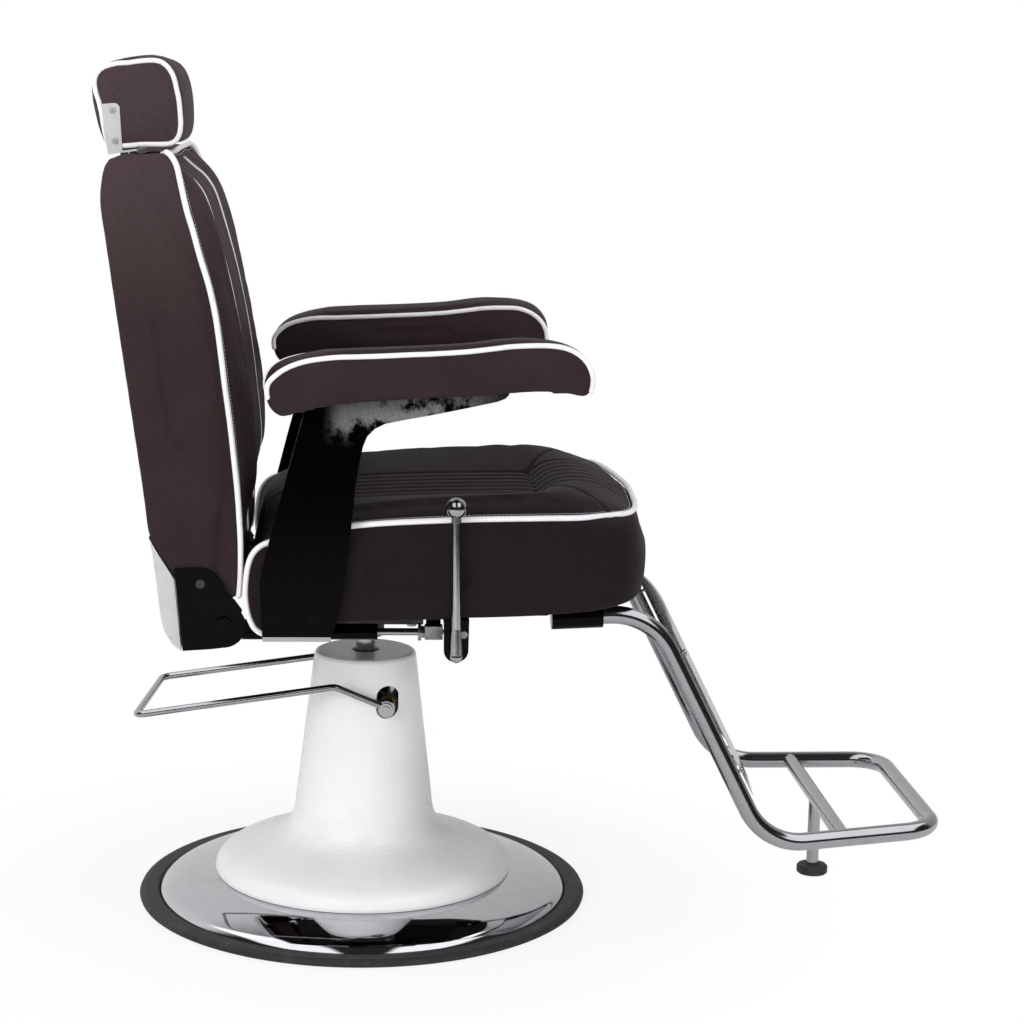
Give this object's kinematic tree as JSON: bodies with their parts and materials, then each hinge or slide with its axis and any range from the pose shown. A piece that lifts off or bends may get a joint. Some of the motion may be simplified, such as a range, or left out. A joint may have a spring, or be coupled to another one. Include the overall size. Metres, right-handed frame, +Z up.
{
  "type": "barber chair",
  "caption": "Hydraulic barber chair on a round base, with a reclining padded back, sliding headrest, arm pads and a tube footrest.",
  "frame": {"origin": "centre of the base's underside, on the floor", "axes": "+Z up; the chair faces -Y, with the footrest in front; +X is towards the sitter's left hand"},
  "size_m": [0.676, 1.1947, 1.1982],
  "materials": {
    "dark_leather": "soft dark brown upholstery leather with white piping",
    "white_gloss": "smooth gloss white",
    "white_shell": "thin sheet, gloss white",
    "chrome": "polished",
    "black_gloss": "gloss black",
    "black_rubber": "matt moulded",
    "steel": "machined",
    "iron": "painted dark grey",
    "bronze": "plain bearing bronze",
    "plywood": "raw birch plywood"
  },
  "bodies": {
    "base": {"base_plate": "iron", "base_ring": "black_rubber", "base_dome": "chrome", "column_cover": "white_gloss", "pump_tank": "iron", "pump_head": "steel", "ram_cylinder": "steel", "gland_nut": "steel", "pump_bolts": "steel", "shaft_bushes": "bronze", "plunger_spring": "steel"},
    "ram": {"ram_rod": "chrome", "ram_piston": "steel", "piston_seals": "black_rubber", "thrust_washer": "steel"},
    "foot_lever": {"pump_lever": "chrome", "lever_shaft": "steel", "lever_screws": "chrome"},
    "plunger": {"pump_plunger": "steel"},
    "seat": {"swivel_hub": "iron", "seat_riser": "black_gloss", "seat_bolts": "steel", "seat_frame": "black_gloss", "seat_board": "plywood", "seat_cushion": "dark_leather", "arm_plate_right": "black_gloss", "arm_plate_left": "black_gloss", "arm_rails": "chrome", "arm_bolts": "black_gloss", "arm_pad_right": "dark_leather", "arm_pad_left": "dark_leather", "footrest_sockets": "black_gloss", "footrest_tube": "chrome", "footrest_crossbar": "chrome", "calf_plate": "chrome", "calf_screws": "chrome", "stop_leg": "chrome", "stop_foot": "black_rubber", "lever_bracket": "black_gloss", "pivot_bolts": "chrome"},
    "hand_lever": {"recline_lever": "chrome", "lever_knob": "chrome"},
    "gas_spring_rod": {"gas_rod": "chrome", "release_head": "steel", "rod_nuts": "steel"},
    "valve_pin": {"release_pin": "steel"},
    "gas_spring_cylinder": {"gas_cylinder": "black_gloss"},
    "back": {"back_frame": "black_gloss", "back_board": "plywood", "back_cushion": "dark_leather", "back_panel": "dark_leather", "back_cover": "white_shell", "back_bracket_right": "black_gloss", "back_bracket_left": "black_gloss", "back_bolts": "chrome", "headrest_guides": "steel"},
    "headrest": {"headrest_posts": "chrome", "headrest_bracket": "white_shell", "headrest_cushion": "dark_leather", "headrest_screws": "chrome"}
  },
  "joints": [
    {"name": "seat_lift", "type": "slide", "parent": "base", "child": "ram", "axis": [0, 0, 1], "range_m": [-0.016, 0.15]},
    {"name": "seat_swivel", "type": "hinge", "parent": "ram", "child": "seat", "pos_m": [0, 0, 0.4], "axis": [0, 0, 1], "continuous": true},
    {"name": "pump_lever_turn", "type": "hinge", "parent": "base", "child": "foot_lever", "pos_m": [-0.00397, -0.03779, 0.296], "axis": [-0.9945, 0.1045, 0], "range_deg": [-8, 28], "stiffness_Nm_per_rad": 8, "springref_deg": -9.74},
    {"name": "plunger_slide", "type": "slide", "parent": "base", "child": "plunger", "axis": [0, 0, -1], "range_m": [-0.0031, 0.0106], "deforming": ["plunger_spring"]},
    {"name": "back_recline", "type": "hinge", "parent": "seat", "child": "back", "pos_m": [0, 0.193, 0.457], "axis": [-1, 0, 0], "range_deg": [0, 40]},
    {"name": "recline_lever_turn", "type": "hinge", "parent": "seat", "child": "hand_lever", "pos_m": [0, -0.115, 0.421], "axis": [-1, 0, 0], "range_deg": [0, 12], "stiffness_Nm_per_rad": 1.5, "springref_deg": -11.46},
    {"name": "gas_swing", "type": "hinge", "parent": "seat", "child": "gas_spring_rod", "pos_m": [-0.215, -0.088, 0.438], "axis": [-1, 0, 0], "range_deg": [-1, 5]},
    {"name": "valve_push", "type": "slide", "parent": "gas_spring_rod", "child": "valve_pin", "axis": [0, 1, 0], "range_m": [0, 0.0045]},
    {"name": "gas_slide", "type": "slide", "parent": "gas_spring_rod", "child": "gas_spring_cylinder", "axis": [0, -1, 0], "range_m": [-0.0005, 0.0195]},
    {"name": "headrest_slide", "type": "slide", "parent": "back", "child": "headrest", "axis": [0, 0.1478, 0.989], "range_m": [0, 0.1]}
  ],
  "couplings": [
    {"joint": "plunger_slide", "follows": "pump_lever_turn", "m_per_rad": 0.0214},
    {"joint": "gas_swing", "follows": "back_recline", "ratio": 0.087},
    {"joint": "gas_slide", "follows": "back_recline", "m_per_rad": 0.0264},
    {"joint": "valve_push", "follows": "recline_lever_turn", "m_per_rad": 0.02}
  ]
}
